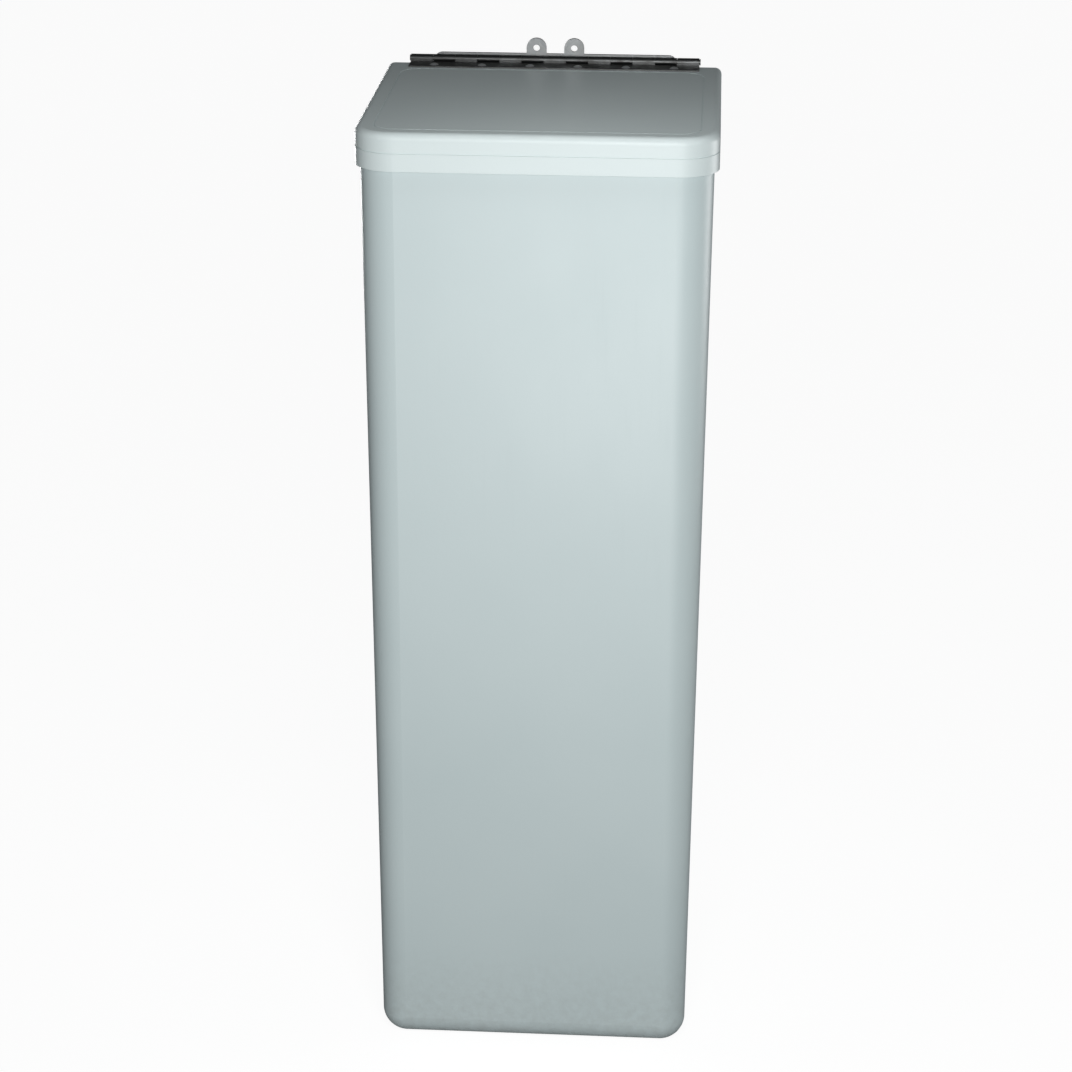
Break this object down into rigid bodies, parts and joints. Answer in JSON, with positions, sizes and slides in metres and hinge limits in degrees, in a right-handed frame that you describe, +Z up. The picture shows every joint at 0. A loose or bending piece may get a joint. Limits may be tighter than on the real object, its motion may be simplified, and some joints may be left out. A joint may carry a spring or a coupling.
{
  "type": "wall-mounted fire blanket case",
  "caption": "Tall tapered wall case with a hinged cap lid, holding a rolled wool fire blanket with pull loops.",
  "frame": {"origin": "the middle of the case's flat base, on its underside", "axes": "+Z up, -Y out of the front, +Y towards the wall, +X to the right seen from the front"},
  "size_m": [0.3, 0.293, 0.872],
  "materials": {
    "case_shell": "gloss",
    "lid_shell": "gloss",
    "seal_rubber": "matte",
    "pad_foam": "matte",
    "hinge_steel": "satin",
    "rivet_alloy": "satin",
    "zinc_steel": "satin",
    "plate_steel": "satin",
    "standoff_rubber": "matte",
    "blanket_wool": "matte",
    "band_fabric": "matte",
    "tape_webbing": "matte"
  },
  "bodies": {
    "case": {"case_body": "case_shell", "rim_seal": "seal_rubber", "base_pad": "pad_foam", "hinge_fixed_leaf": "hinge_steel", "hinge_pin": "hinge_steel", "hinge_fixed_rivets": "rivet_alloy", "hinge_fixed_backing": "zinc_steel", "wall_plate": "plate_steel", "wall_plate_spacers": "zinc_steel", "wall_plate_bolts": "zinc_steel", "wall_plate_washers": "zinc_steel", "wall_plate_nuts": "zinc_steel", "lower_standoffs": "standoff_rubber"},
    "lid": {"lid": "lid_shell", "hinge_lid_leaf": "hinge_steel", "hinge_lid_rivets": "rivet_alloy", "hinge_lid_backing": "zinc_steel"},
    "blanket": {"blanket_roll": "blanket_wool", "retaining_band_lower": "band_fabric", "retaining_band_upper": "band_fabric", "pull_tape_left": "tape_webbing", "pull_tape_right": "tape_webbing", "tape_patches": "tape_webbing"}
  },
  "joints": [
    {"name": "lid_hinge", "type": "hinge", "parent": "case", "child": "lid", "pos_m": [0, 0.1415, 0.8535], "axis": [-1, 0, 0], "range_deg": [0, 92]},
    {"name": "blanket_lift", "type": "slide", "parent": "case", "child": "blanket", "axis": [0, 0, 1], "range_m": [0, 0.04]}
  ]
}
